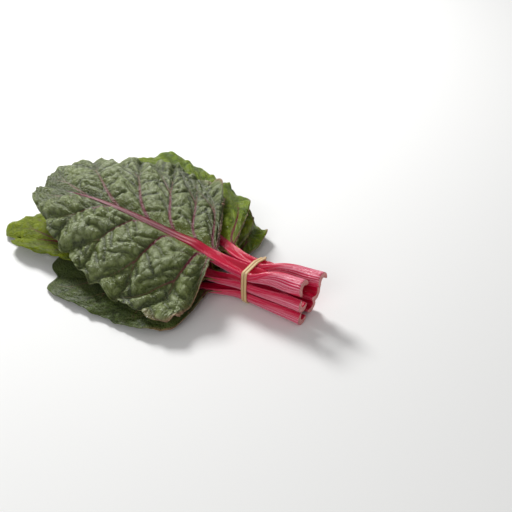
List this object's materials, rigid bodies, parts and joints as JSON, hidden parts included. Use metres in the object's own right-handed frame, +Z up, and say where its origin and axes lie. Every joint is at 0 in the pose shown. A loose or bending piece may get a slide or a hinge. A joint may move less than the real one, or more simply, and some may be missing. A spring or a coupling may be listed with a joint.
{
  "type": "swiss chard bunch",
  "caption": "Bunch of red-stalked Swiss chard leaves lying on its side, the stalks held together by a rubber band",
  "frame": {"origin": "The middle of the bunch's footprint, on the surface that it lies on", "axes": "+Z up; the leaf tips point along -X and the cut ends of the stalks along +X"},
  "size_m": [0.3528, 0.253, 0.0572],
  "materials": {
    "stalk": "smooth, ribbed along its length, satin",
    "blade": "crinkled between its veins, satin",
    "band": "smooth, matt"
  },
  "bodies": {
    "root": {"stalk_1": "stalk", "stalk_2": "stalk", "stalk_3": "stalk", "stalk_4": "stalk", "stalk_5": "stalk", "stalk_6": "stalk", "blade_1": "blade", "blade_2": "blade", "blade_3": "blade", "blade_4": "blade", "blade_5": "blade", "blade_6": "blade", "rubber_band": "band"}
  },
  "joints": []
}
